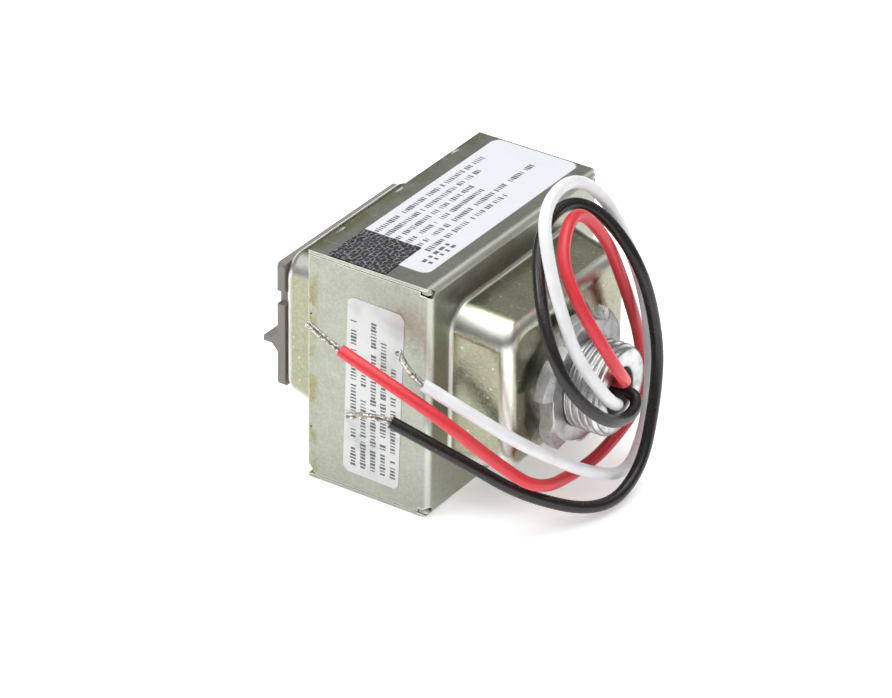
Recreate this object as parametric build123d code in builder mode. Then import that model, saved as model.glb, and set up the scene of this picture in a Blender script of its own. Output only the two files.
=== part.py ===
from build123d import *
import os
from math import cos, pi, radians, sin, tan

# Control transformer with a threaded conduit hub, millimetres.
# X runs out along the hub, Y along the case, Z up.
# The origin is on the hub's axis, in the locknut's front face, which seats on a box wall.

# Case: one sheet with a drawn dome, its four walls folded back.
case_length = 67.0
case_height = 57.0
case_depth = 31.6
sheet = 0.9
bend_radius = 1.8
seam_gap = 0.45
relief_diameter = 2.1
relief_depth = 2.7
wall_corner_cut = 2.4

# Where the hub stands on the front.
hub_from_end = 32.4
hub_from_top = 30.8

# Domes drawn in the front sheet and in the rear bell.
dome_depth = 14.2
rear_dome_depth = 15.0
dome_end_margin = 7.7
dome_side_margin = 8.5
dome_draft = 2.1
dome_corner = 6.0
dome_edge = 3.4
dome_root = 1.1

# Rear bell, held by stakes that are pressed in behind its flange.
bell_fit = 0.1
bell_lip = 1.2
stake_length = 3.0
stake_depth = 0.9
stake_dent = 0.35
stakes_on_side = 3
stakes_on_end = 2

# Conduit nipple and its locknut, whose lugs are ratchet teeth for a driver's blade.
thread_diameter = 21.0
engaged_diameter = 20.4
nipple_reach = 8.6
nipple_chamfer = 0.9
nipple_bore = 11.0
bore_round = 0.6
head_diameter = 23.6
head_thickness = 1.8
hub_hole_fit = 0.05
nut_thickness = 5.6
nut_rim = 3.6
nut_seat_diameter = 25.6
nut_diameter = 27.6
nut_thread_fit = 0.05
nut_face_diameter = 28.6
nut_bevel = 1.2
lug_count = 6
lug_height = 2.7
lug_crown = 1.7
lug_turn = 55.0

# Laminated core, bobbin and windings.
core_fit = 0.1
core_seam = 0.02
yoke = 10.8
bobbin_fit = 0.25
bobbin_wall = 1.0
bobbin_flange = 1.1
window_fit = 0.4
coil_reach = 11.0
winding_fit = 0.05
winding_inset = 0.6
tape = 0.25
coil_corner = 2.5

# Terminal board on the rear bell.
board_end_inset = 2.8
board_side_inset = 4.5
board_thickness = 2.0
board_corner = 1.0
notch_height = 3.3
notch_depth = 1.4
notch_from_top = 7.0
rib_from_bottom = 10.8
rib_thickness = 1.3
rib_height = 3.8
rib_foot = 1.6
plate_length = 12.0
plate_height = 7.4
plate_thickness = 0.8
plate_ear = 1.8
screw_diameter = 3.5
screw_fit = 0.05
screw_head_diameter = 6.9
screw_head_height = 2.4
screw_slot_width = 1.1
screw_slot_depth = 1.2
screw_tail = 3.0
tail_hole_diameter = 5.6
rivet_diameter = 3.2
rivet_fit = 0.05
rivet_head_diameter = 6.0
rivet_head_height = 1.1
rivet_tail_diameter = 5.4
rivet_tail_height = 1.0
rivet_end_margin = 6.0
rivet_side_margin = 5.0

# Labels.
label_thickness = 0.12
top_label_length = 61.0
top_label_width = 22.2
top_label_from_end = 5.4
top_label_from_front = 4.6
top_label_corner = 2.0
side_label_width = 14.6
side_label_height = 44.0
side_label_from_front = 7.2
side_label_from_top = 8.1
side_label_corner = 1.6
side_label_lean = 1.5
sticker_width = 14.8
sticker_length = 13.9
sticker_from_end = 0.3
sticker_from_front = 12.0

# Free leads.
lead_diameter = 2.8
strand_diameter = 1.5
strand_straight = 3.5
white_strand_tip = (-20.9, -43.1, 20.7)
black_strand_tip = (-33.5, -43.6, 0.8)
red_strand_tip = (-43.6, -44.3, 20.6)
arc_share = 0.45

# Planes and centres worked out from the sizes above.
dome_front = -nut_thickness
flange_front = dome_front - dome_depth
case_rear = flange_front - case_depth
bell_rear = case_rear + bell_lip
bell_back = bell_rear - rear_dome_depth
end_y = -hub_from_end
case_y = end_y + case_length / 2
top_z = hub_from_top
case_z = top_z - case_height / 2
dome_width = case_length - 2 * dome_end_margin
dome_height = case_height - 2 * dome_side_margin
core_front = flange_front - bend_radius - core_fit
core_back = bell_rear + sheet + core_fit
core_x = (core_front + core_back) / 2
core_stack = core_front - core_back
core_length = case_length - 2 * (sheet + core_fit)
core_height = case_height - 2 * (sheet + core_fit)
centre_leg = 2 * yoke
window_width = (core_length - centre_leg) / 2 - yoke
window_height = core_height - 2 * yoke
board_face = bell_back - board_thickness
board_length = dome_width - 2 * board_end_inset
board_height = dome_height - 2 * board_side_inset


def dome(base_x, direction, depth, inset):
    """A drawn dome, drafted and rounded, standing on the plane base_x."""
    width = dome_width - 2 * inset
    height = dome_height - 2 * inset
    corner = dome_corner - inset
    with BuildPart() as body:
        with BuildSketch(Plane.YZ.offset(base_x)):
            with Locations((case_y, case_z)):
                RectangleRounded(width, height, corner)
        with BuildSketch(Plane.YZ.offset(base_x + direction * depth)):
            with Locations((case_y, case_z)):
                RectangleRounded(width - 2 * dome_draft, height - 2 * dome_draft, corner)
        loft()
        crown = body.faces().sort_by(Axis.X)[-1 if direction > 0 else 0]
        fillet(crown.edges(), radius=dome_edge - inset)
    return body.part


def root_edges(part, plane_x):
    """The edges where a dome leaves its flange."""
    rim = part.edges().filter_by_position(Axis.X, plane_x - sheet / 10, plane_x + sheet / 10)
    return rim.filter_by(
        lambda edge: abs(edge.center().Y - case_y) < dome_width / 2 + sheet / 10
        and abs(edge.center().Z - case_z) < dome_height / 2 + sheet / 10
    )


# Front case: box and dome from one sheet, hollow, open at the rear.
with BuildPart() as case_inside:
    with BuildSketch(Plane.YZ.offset(case_rear)):
        with Locations((case_y, case_z)):
            Rectangle(case_length - 2 * sheet, case_height - 2 * sheet)
    extrude(amount=case_depth - sheet)
    fillet(case_inside.faces().sort_by(Axis.X)[-1].edges(), radius=bend_radius - sheet)
    add(dome(flange_front - sheet, 1, dome_depth, sheet))

with BuildPart() as front_case:
    with BuildSketch(Plane.YZ.offset(case_rear)):
        with Locations((case_y, case_z)):
            Rectangle(case_length, case_height)
    extrude(amount=case_depth)
    fillet(front_case.faces().sort_by(Axis.X)[-1].edges(), radius=bend_radius)
    add(dome(flange_front, 1, dome_depth, 0))
    fillet(root_edges(front_case.part, flange_front), radius=dome_root)
    add(case_inside.part, mode=Mode.SUBTRACT)
    # Hole for the nipple.
    with BuildSketch(Plane.YZ.offset(dome_front)):
        Circle(thread_diameter / 2 + hub_hole_fit)
    extrude(amount=-2 * sheet, mode=Mode.SUBTRACT)
    for end in (-1, 1):
        wall_y = case_y + end * case_length / 2
        for side in (-1, 1):
            wall_z = case_z + side * case_height / 2
            # The end wall's edge stops short of the side wall, with a round relief at the fold.
            seam_z = wall_z - side * (sheet + seam_gap / 2)
            with Locations((case_rear + (case_depth - relief_depth) / 2, wall_y, seam_z)):
                Box(case_depth - relief_depth, 2 * sheet, seam_gap, mode=Mode.SUBTRACT)
            relief_y = wall_y - end * sheet
            relief_z = wall_z - side * (sheet + seam_gap)
            with Locations(Plane((flange_front - relief_depth, relief_y, relief_z), z_dir=(1, 0, 0))):
                Cylinder(
                    relief_diameter / 2,
                    2 * relief_depth,
                    align=(Align.CENTER, Align.CENTER, Align.MIN),
                    mode=Mode.SUBTRACT,
                )
        # The end walls have a clipped corner low at the rear.
        with BuildSketch(Plane.XZ.offset(-wall_y)):
            with BuildLine():
                low = case_z - case_height / 2 + sheet
                Polyline(
                    (case_rear, low),
                    (case_rear + wall_corner_cut, low),
                    (case_rear, low + wall_corner_cut),
                    close=True,
                )
            make_face()
        extrude(amount=2 * sheet, both=True, mode=Mode.SUBTRACT)
    # Stakes: the wall is dented outside and pressed in behind the bell's flange.
    for side in (-1, 1):
        inner = case_z + side * (case_height / 2 - sheet)
        outer = case_z + side * case_height / 2
        for k in range(stakes_on_side):
            at = case_y + (k + 0.5 - stakes_on_side / 2) * case_length / stakes_on_side
            with Locations((case_rear + bell_lip / 2, at, inner - side * stake_depth / 2)):
                Box(bell_lip, stake_length, stake_depth)
            with Locations((case_rear + bell_lip / 2, at, outer)):
                Box(bell_lip / 2, stake_length, 2 * stake_dent, mode=Mode.SUBTRACT)
    for end in (-1, 1):
        inner = case_y + end * (case_length / 2 - sheet)
        outer = case_y + end * case_length / 2
        for k in range(stakes_on_end):
            at = case_z + (k + 0.5 - stakes_on_end / 2) * case_height / stakes_on_end
            with Locations((case_rear + bell_lip / 2, inner - end * stake_depth / 2, at)):
                Box(bell_lip, stake_depth, stake_length)
            with Locations((case_rear + bell_lip / 2, outer, at)):
                Box(bell_lip / 2, 2 * stake_dent, stake_length, mode=Mode.SUBTRACT)
front_case.part.label = "front_case"

# Where things stand on the rear bell.
rib_z = case_z - board_height / 2 + rib_from_bottom
rib_half = rib_thickness / 2 + rib_foot
terminal_z = [
    (case_z + board_height / 2 + rib_z + rib_half) / 2,
    (case_z - board_height / 2 + rib_z - rib_half) / 2,
]
rivet_spots = [
    (case_y - board_length / 2 + rivet_end_margin, case_z - board_height / 2 + rivet_side_margin),
    (case_y + board_length / 2 - rivet_end_margin, case_z + board_height / 2 - rivet_side_margin),
]
rear_plane = Plane((bell_back, 0, 0), x_dir=(0, -1, 0), z_dir=(-1, 0, 0))

# Rear bell: flange and drawn dome, with holes for the terminal screws' tails and the rivets.
with BuildPart() as rear_bell:
    with BuildSketch(Plane.YZ.offset(bell_rear)):
        with Locations((case_y, case_z)):
            Rectangle(
                case_length - 2 * (sheet + bell_fit),
                case_height - 2 * (sheet + bell_fit),
            )
    extrude(amount=sheet)
    add(dome(bell_rear, -1, rear_dome_depth, 0))
    fillet(root_edges(rear_bell.part, bell_rear), radius=dome_root)
    add(dome(bell_rear + sheet, -1, rear_dome_depth, sheet), mode=Mode.SUBTRACT)
    with BuildSketch(rear_plane):
        with Locations([(-case_y, z) for z in terminal_z]):
            Circle(tail_hole_diameter / 2)
        with Locations([(-y, z) for y, z in rivet_spots]):
            Circle(rivet_diameter / 2 + rivet_fit)
    extrude(amount=-2 * sheet, mode=Mode.SUBTRACT)
rear_bell.part.label = "rear_bell"

# Core: E laminations with the yoke on top, I laminations below.
core_low = case_z - core_height / 2
i_top = core_low + yoke
leg_height = core_height - yoke - core_seam
with BuildPart() as core_e_stack:
    with BuildSketch(Plane.YZ.offset(core_back)):
        with Locations((case_y, case_z + core_height / 2 - yoke / 2)):
            Rectangle(core_length, yoke)
        leg_spots = [
            (case_y - core_length / 2 + yoke / 2, yoke),
            (case_y, centre_leg),
            (case_y + core_length / 2 - yoke / 2, yoke),
        ]
        for leg_y, leg_width in leg_spots:
            with Locations((leg_y, i_top + core_seam)):
                Rectangle(leg_width, leg_height, align=(Align.CENTER, Align.MIN))
    extrude(amount=core_stack)
core_e_stack.part.label = "core_e_stack"

with BuildPart() as core_i_stack:
    with BuildSketch(Plane.YZ.offset(core_back)):
        with Locations((case_y, core_low + yoke / 2)):
            Rectangle(core_length, yoke)
    extrude(amount=core_stack)
core_i_stack.part.label = "core_i_stack"

# Bobbin with a middle flange, so that the two windings lie one above the other.
window_low = i_top + core_seam
tube_x = core_stack + 2 * (bobbin_fit + bobbin_wall)
tube_y = centre_leg + 2 * (bobbin_fit + bobbin_wall)
flange_x = core_stack + 2 * coil_reach
flange_y = centre_leg + 2 * (window_width - window_fit)
bobbin_height = window_height - core_seam - 2 * window_fit
bobbin_low = window_low + window_fit
bay_height = (bobbin_height - 3 * bobbin_flange) / 2
lower_bay = bobbin_low + bobbin_flange
middle_flange = lower_bay + bay_height
upper_bay = middle_flange + bobbin_flange
top_flange = upper_bay + bay_height


def ring(low_z, height, inner_x, inner_y, outer_x, outer_y, corner):
    """A rectangular ring round the core's middle leg."""
    with BuildPart() as body:
        with BuildSketch(Plane.XY.offset(low_z)):
            with Locations((core_x, case_y)):
                RectangleRounded(outer_x, outer_y, corner)
                Rectangle(inner_x, inner_y, mode=Mode.SUBTRACT)
        extrude(amount=height)
    return body.part


with BuildPart() as bobbin:
    inner_x = core_stack + 2 * bobbin_fit
    inner_y = centre_leg + 2 * bobbin_fit
    add(ring(bobbin_low, bobbin_height, inner_x, inner_y, tube_x, tube_y, bobbin_wall))
    for low in (bobbin_low, middle_flange, top_flange):
        add(ring(low, bobbin_flange, inner_x, inner_y, flange_x, flange_y, coil_corner))
bobbin.part.label = "bobbin"

wound_x = flange_x - 2 * winding_inset
wound_y = flange_y - 2 * winding_inset
wound_height = bay_height - 2 * winding_fit
hole_x = tube_x + 2 * winding_fit
hole_y = tube_y + 2 * winding_fit


def winding(low_z):
    """The copper of one bay."""
    return ring(low_z + winding_fit, wound_height, hole_x, hole_y, wound_x, wound_y, coil_corner)


def tape_wrap(low_z):
    """The insulating tape wound round one bay's copper."""
    with BuildPart() as body:
        with BuildSketch(Plane.XY.offset(low_z + winding_fit)):
            with Locations((core_x, case_y)):
                RectangleRounded(wound_x + 2 * tape, wound_y + 2 * tape, coil_corner + tape)
                RectangleRounded(wound_x, wound_y, coil_corner, mode=Mode.SUBTRACT)
        extrude(amount=wound_height)
    return body.part


with BuildPart() as primary_winding:
    add(winding(lower_bay))
primary_winding.part.label = "primary_winding"

with BuildPart() as secondary_winding:
    add(winding(upper_bay))
secondary_winding.part.label = "secondary_winding"

with BuildPart() as primary_tape:
    add(tape_wrap(lower_bay))
primary_tape.part.label = "primary_tape"

with BuildPart() as secondary_tape:
    add(tape_wrap(upper_bay))
secondary_tape.part.label = "secondary_tape"

# Conduit nipple: a head inside the dome, a shank in the dome and the locknut, the free thread outside.
# The shank stands at the thread's mean diameter, where the locknut's own thread holds it.
with BuildPart() as conduit_nipple:
    with BuildSketch(Plane.XZ):
        with BuildLine():
            head_front = dome_front - sheet
            head_back = head_front - head_thickness
            barrel = thread_diameter / 2
            shank = engaged_diameter / 2
            Polyline(
                (head_back, nipple_bore / 2),
                (head_back, head_diameter / 2),
                (head_front, head_diameter / 2),
                (head_front, shank),
                (0, shank),
                (0, barrel),
                (nipple_reach - nipple_chamfer, barrel),
                (nipple_reach, barrel - nipple_chamfer),
                (nipple_reach, nipple_bore / 2 + bore_round),
                (nipple_reach - bore_round, nipple_bore / 2),
                close=True,
            )
        make_face()
    revolve(axis=Axis.X)
conduit_nipple.part.label = "conduit_nipple"

# Locknut: a round seat against the dome, and a rim whose lugs rise slowly and end in a step.
lug_root = nut_diameter / 2
lug_step = 360 / lug_count


def rim_point(radius, degrees):
    """A point of the locknut's rim, in the plane of its face."""
    return (radius * cos(radians(degrees)), radius * sin(radians(degrees)))


with BuildPart() as hub_locknut:
    with BuildSketch(Plane.YZ.offset(-nut_rim)):
        with BuildLine():
            for k in range(lug_count):
                start = lug_turn + k * lug_step
                end = start + lug_step
                ThreePointArc(
                    rim_point(lug_root, start),
                    rim_point(lug_root + lug_crown, start + lug_step / 2),
                    rim_point(lug_root + lug_height, end),
                )
                Line(rim_point(lug_root + lug_height, end), rim_point(lug_root, end))
        make_face()
    extrude(amount=nut_rim)
    # The front is bevelled as if turned, so the lugs slope back outside the flat face.
    with BuildSketch(Plane.XZ):
        with BuildLine():
            Polyline(
                (-nut_rim, 0),
                (-nut_rim, lug_root + lug_height),
                (-nut_bevel, lug_root + lug_height),
                (0, nut_face_diameter / 2),
                (0, 0),
                close=True,
            )
        make_face()
    revolve(axis=Axis.X, mode=Mode.INTERSECT)
    with BuildSketch(Plane.YZ.offset(dome_front)):
        Circle(nut_seat_diameter / 2)
    extrude(amount=nut_thickness - nut_rim)
    with BuildSketch(Plane.YZ.offset(dome_front)):
        Circle(engaged_diameter / 2 + nut_thread_fit)
    extrude(amount=nut_thickness, mode=Mode.SUBTRACT)
hub_locknut.part.label = "hub_locknut"

# Terminal board: a moulded plate with a barrier rib between the two terminals.
with BuildPart() as terminal_board:
    with BuildSketch(rear_plane):
        with Locations((-case_y, case_z)):
            RectangleRounded(board_length, board_height, board_corner)
        with Locations((-case_y + board_length / 2, case_z + board_height / 2 - notch_from_top)):
            Rectangle(2 * notch_depth, notch_height, align=(Align.CENTER, Align.MAX), mode=Mode.SUBTRACT)
        with Locations([(-case_y, z) for z in terminal_z]):
            Circle(screw_diameter / 2 + screw_fit, mode=Mode.SUBTRACT)
        with Locations([(-y, z) for y, z in rivet_spots]):
            Circle(rivet_diameter / 2 + rivet_fit, mode=Mode.SUBTRACT)
    extrude(amount=board_thickness)
    with BuildSketch(Plane.XZ.offset(-case_y - board_length / 2)):
        with BuildLine():
            Polyline(
                (board_face, rib_z + rib_half),
                (board_face - rib_foot, rib_z + rib_thickness / 2),
                (board_face - rib_height, rib_z + rib_thickness / 2),
                (board_face - rib_height, rib_z - rib_thickness / 2),
                (board_face - rib_foot, rib_z - rib_thickness / 2),
                (board_face, rib_z - rib_half),
                close=True,
            )
        make_face()
    extrude(amount=board_length)
terminal_board.part.label = "terminal_board"


def terminal_plate(at_z):
    """A flat terminal with two ears turned up beside the wire."""
    with BuildPart() as body:
        with BuildSketch(Plane((board_face, 0, 0), x_dir=(0, -1, 0), z_dir=(-1, 0, 0))):
            with Locations((-case_y, at_z)):
                Rectangle(plate_length, plate_height)
                Circle(screw_diameter / 2 + screw_fit, mode=Mode.SUBTRACT)
        extrude(amount=plate_thickness)
        for end in (-1, 1):
            edge_y = case_y + end * (plate_length - plate_thickness) / 2
            with Locations((board_face - plate_thickness - plate_ear / 2, edge_y, at_z)):
                Box(plate_ear, plate_thickness, plate_height / 2)
    return body.part


def terminal_screw(at_z):
    """A slotted binding head screw through the plate and the board."""
    seat = board_face - plate_thickness
    rise = Plane((seat, case_y, at_z), x_dir=(0, -1, 0), z_dir=(-1, 0, 0))
    with BuildPart() as body:
        with BuildSketch(rise):
            Circle(screw_head_diameter / 2)
        extrude(amount=screw_head_height)
        fillet(body.faces().sort_by(Axis.X)[0].edges(), radius=screw_head_height / 3)
        with BuildSketch(rise):
            Circle(screw_diameter / 2)
        extrude(amount=-(plate_thickness + board_thickness + screw_tail))
        with BuildSketch(rise.offset(screw_head_height)):
            Rectangle(screw_head_diameter, screw_slot_width)
        extrude(amount=-screw_slot_depth, mode=Mode.SUBTRACT)
    return body.part


def board_rivet(at_y, at_z):
    """A rivet that holds the board on the bell, headed on both sides."""
    rise = Plane((board_face, at_y, at_z), x_dir=(0, -1, 0), z_dir=(-1, 0, 0))
    with BuildPart() as body:
        with BuildSketch(rise):
            Circle(rivet_head_diameter / 2)
        extrude(amount=rivet_head_height)
        fillet(body.faces().sort_by(Axis.X)[0].edges(), radius=rivet_head_height / 2)
        with BuildSketch(rise):
            Circle(rivet_diameter / 2)
        extrude(amount=-(board_thickness + sheet))
        with BuildSketch(rise.offset(-(board_thickness + sheet))):
            Circle(rivet_tail_diameter / 2)
        extrude(amount=-rivet_tail_height)
    return body.part


with BuildPart() as upper_terminal_plate:
    add(terminal_plate(terminal_z[0]))
upper_terminal_plate.part.label = "upper_terminal_plate"

with BuildPart() as lower_terminal_plate:
    add(terminal_plate(terminal_z[1]))
lower_terminal_plate.part.label = "lower_terminal_plate"

with BuildPart() as upper_terminal_screw:
    add(terminal_screw(terminal_z[0]))
upper_terminal_screw.part.label = "upper_terminal_screw"

with BuildPart() as lower_terminal_screw:
    add(terminal_screw(terminal_z[1]))
lower_terminal_screw.part.label = "lower_terminal_screw"

with BuildPart() as left_board_rivet:
    add(board_rivet(*rivet_spots[0]))
left_board_rivet.part.label = "left_board_rivet"

with BuildPart() as right_board_rivet:
    add(board_rivet(*rivet_spots[1]))
right_board_rivet.part.label = "right_board_rivet"

# Labels on the top wall and the near end wall.
with BuildPart() as top_label:
    with BuildSketch(Plane.XY.offset(top_z)):
        with Locations((flange_front - top_label_from_front, end_y + top_label_from_end)):
            with Locations((-top_label_width / 2, top_label_length / 2)):
                RectangleRounded(top_label_width, top_label_length, top_label_corner)
    extrude(amount=label_thickness)
top_label.part.label = "top_label"

with BuildPart() as inspection_sticker:
    with BuildSketch(Plane.XY.offset(top_z + label_thickness)):
        with Locations((flange_front - sticker_from_front, end_y + sticker_from_end)):
            Rectangle(sticker_width, sticker_length, align=(Align.MAX, Align.MIN))
    extrude(amount=label_thickness)
inspection_sticker.part.label = "inspection_sticker"

with BuildPart() as side_label:
    with BuildSketch(Plane.XZ.offset(-end_y)):
        with Locations((flange_front - side_label_from_front, top_z - side_label_from_top)):
            with Locations((-side_label_width / 2, -side_label_height / 2)):
                RectangleRounded(
                    side_label_width,
                    side_label_height,
                    side_label_corner,
                    rotation=-side_label_lean,
                )
    extrude(amount=label_thickness)
side_label.part.label = "side_label"

# Free leads: from the coil through the nipple, up over the dome, round and back past the near end.
white_route = [
    (-10.6, -2.2, -3.2),
    (-1.0, -2.0, -1.5),
    (10.2, -2.2, -2.0),
    (13.3, -15.3, 8.9),
    (9.2, -19.5, 16.4),
    (4.4, -19.5, 24.9),
    (0.8, -19.1, 36.9),
    (-5.0, -12.7, 46.7),
    (-8.4, 3.4, 45.7),
    (-6.8, 15.4, 38.9),
    (-2.1, 19.8, 27.6),
    (2.8, 19.4, 12.0),
    (5.2, 18.6, -5.0),
    (6.3, 16.6, -19.4),
    (7.7, 6.6, -24.3),
    (4.0, -5.5, -19.1),
    (-0.1, -22.6, -6.8),
    (-5.8, -34.4, 5.2),
    (-15.9, -40.4, 13.2),
]
black_route = [
    (-10.6, 2.6, -2.0),
    (-4.2, 2.3, -0.3),
    (2.8, 1.9, -0.9),
    (10.6, 2.2, -0.6),
    (14.2, -3.6, 1.7),
    (14.8, -15.2, 0.9),
    (10.3, -22.9, 9.6),
    (4.6, -24.2, 19.5),
    (-1.2, -19.2, 28.7),
    (-8.6, -8.2, 36.9),
    (-10.2, 5.9, 38.2),
    (-4.8, 13.1, 34.4),
    (3.4, 14.3, 22.0),
    (7.1, 16.8, 4.7),
    (9.1, 13.9, -7.9),
    (10.9, 5.5, -21.6),
    (10.0, -10.4, -24.4),
    (1.3, -24.4, -15.9),
    (-10.3, -33.7, -6.8),
    (-24.4, -40.2, 0.4),
]
red_route = [
    (-10.6, -0.5, -0.2),
    (-0.6, 0.2, 2.2),
    (10.6, -0.1, 2.3),
    (13.8, -11.8, 12.9),
    (5.9, -15.6, 29.0),
    (-1.4, -12.2, 37.0),
    (-4.9, 0.6, 41.0),
    (-2.7, 9.6, 30.7),
    (-0.7, 17.9, 14.5),
    (-0.3, 24.1, -2.7),
    (0.9, 20.4, -14.4),
    (4.2, 1.2, -15.7),
    (7.4, -15.6, -11.6),
    (6.5, -29.1, -9.6),
    (-1.3, -33.1, -5.3),
    (-11.3, -40.7, 6.7),
    (-25.3, -43.4, 12.9),
    (-35.9, -42.5, 15.4),
]


def bare_route(route, tip):
    """Stripped strands: straight on from the lead's end, then bent to their tip."""
    end = Vector(*route[-1])
    along = (end - Vector(*route[-2])).normalized()
    knee = end + along * strand_straight
    return [tuple(end), tuple(knee), tip]


def arc_radii(route):
    """The largest arc that the two runs beside each corner leave room for."""
    radii = []
    for before, corner, after in zip(route, route[1:], route[2:]):
        run_in = Vector(*corner) - Vector(*before)
        run_out = Vector(*after) - Vector(*corner)
        half_turn = radians(run_in.get_angle(run_out)) / 2
        radii.append(arc_share * min(run_in.length, run_out.length) / tan(half_turn))
    return radii


def tube(route, diameter):
    """A round tube along straight runs joined by tangent arcs."""
    radii = arc_radii(route)
    with BuildPart() as body:
        with BuildLine() as path:
            FilletPolyline(*route, radius=radii)
        with BuildSketch(Plane(origin=path.line @ 0, z_dir=path.line % 0)):
            Circle(diameter / 2)
        sweep()
    length = path.wires()[0].length
    fill = body.part.volume / (pi * diameter**2 / 4 * length)
    print("length", round(length, 1), "fill", round(fill, 4), "radii", [round(r, 1) for r in radii])
    return body.part


with BuildPart() as white_lead:
    add(tube(white_route, lead_diameter))
white_lead.part.label = "white_lead"

with BuildPart() as black_lead:
    add(tube(black_route, lead_diameter))
black_lead.part.label = "black_lead"

with BuildPart() as red_lead:
    add(tube(red_route, lead_diameter))
red_lead.part.label = "red_lead"

with BuildPart() as white_lead_strands:
    add(tube(bare_route(white_route, white_strand_tip), strand_diameter))
white_lead_strands.part.label = "white_lead_strands"

with BuildPart() as black_lead_strands:
    add(tube(bare_route(black_route, black_strand_tip), strand_diameter))
black_lead_strands.part.label = "black_lead_strands"

with BuildPart() as red_lead_strands:
    add(tube(bare_route(red_route, red_strand_tip), strand_diameter))
red_lead_strands.part.label = "red_lead_strands"

os.makedirs("parts", exist_ok=True)
export_step(front_case.part, "parts/front_case.step")
export_step(rear_bell.part, "parts/rear_bell.step")
export_step(core_e_stack.part, "parts/core_e_stack.step")
export_step(core_i_stack.part, "parts/core_i_stack.step")
export_step(bobbin.part, "parts/bobbin.step")
export_step(primary_winding.part, "parts/primary_winding.step")
export_step(secondary_winding.part, "parts/secondary_winding.step")
export_step(primary_tape.part, "parts/primary_tape.step")
export_step(secondary_tape.part, "parts/secondary_tape.step")
export_step(conduit_nipple.part, "parts/conduit_nipple.step")
export_step(hub_locknut.part, "parts/hub_locknut.step")
export_step(terminal_board.part, "parts/terminal_board.step")
export_step(upper_terminal_plate.part, "parts/upper_terminal_plate.step")
export_step(lower_terminal_plate.part, "parts/lower_terminal_plate.step")
export_step(upper_terminal_screw.part, "parts/upper_terminal_screw.step")
export_step(lower_terminal_screw.part, "parts/lower_terminal_screw.step")
export_step(left_board_rivet.part, "parts/left_board_rivet.step")
export_step(right_board_rivet.part, "parts/right_board_rivet.step")
export_step(top_label.part, "parts/top_label.step")
export_step(side_label.part, "parts/side_label.step")
export_step(inspection_sticker.part, "parts/inspection_sticker.step")
export_step(white_lead.part, "parts/white_lead.step")
export_step(black_lead.part, "parts/black_lead.step")
export_step(red_lead.part, "parts/red_lead.step")
export_step(white_lead_strands.part, "parts/white_lead_strands.step")
export_step(black_lead_strands.part, "parts/black_lead_strands.step")
export_step(red_lead_strands.part, "parts/red_lead_strands.step")
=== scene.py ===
from math import cos, radians, sin, tau

import bmesh
import bpy
from mathutils import Matrix, Vector


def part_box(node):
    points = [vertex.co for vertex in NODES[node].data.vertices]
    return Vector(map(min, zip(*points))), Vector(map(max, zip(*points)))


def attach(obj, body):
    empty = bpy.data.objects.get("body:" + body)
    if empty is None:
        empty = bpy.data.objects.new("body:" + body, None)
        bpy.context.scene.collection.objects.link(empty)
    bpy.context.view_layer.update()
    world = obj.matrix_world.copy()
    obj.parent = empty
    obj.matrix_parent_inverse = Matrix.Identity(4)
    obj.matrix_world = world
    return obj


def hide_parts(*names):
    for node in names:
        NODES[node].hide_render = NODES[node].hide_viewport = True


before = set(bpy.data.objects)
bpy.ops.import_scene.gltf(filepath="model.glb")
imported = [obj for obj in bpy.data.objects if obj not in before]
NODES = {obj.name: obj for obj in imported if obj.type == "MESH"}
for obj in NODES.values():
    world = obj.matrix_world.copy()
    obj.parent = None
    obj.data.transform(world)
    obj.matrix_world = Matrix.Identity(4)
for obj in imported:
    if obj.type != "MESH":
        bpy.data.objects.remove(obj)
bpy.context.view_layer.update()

bl_info = {
    "name": "Control Transformer",
    "version": (1, 0, 0),
    "blender": (4, 5, 0),
    "location": "View3D > Sidebar > Transformer",
    "description": "Dresses a small encased control transformer with a threaded conduit hub",
    "category": "Object",
}

MM = 0.001
BODY = "root"
MERGE = 1e-6
LAMINATION = 0.5 * MM
WIRE_PITCH = 0.4 * MM

# Kinds of socket that the node groups use.
NUMBER = "NodeSocketFloat"
COUNT = "NodeSocketInt"
VECTOR = "NodeSocketVector"
SHAPE = "NodeSocketGeometry"
FINISH = "NodeSocketMaterial"

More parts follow.
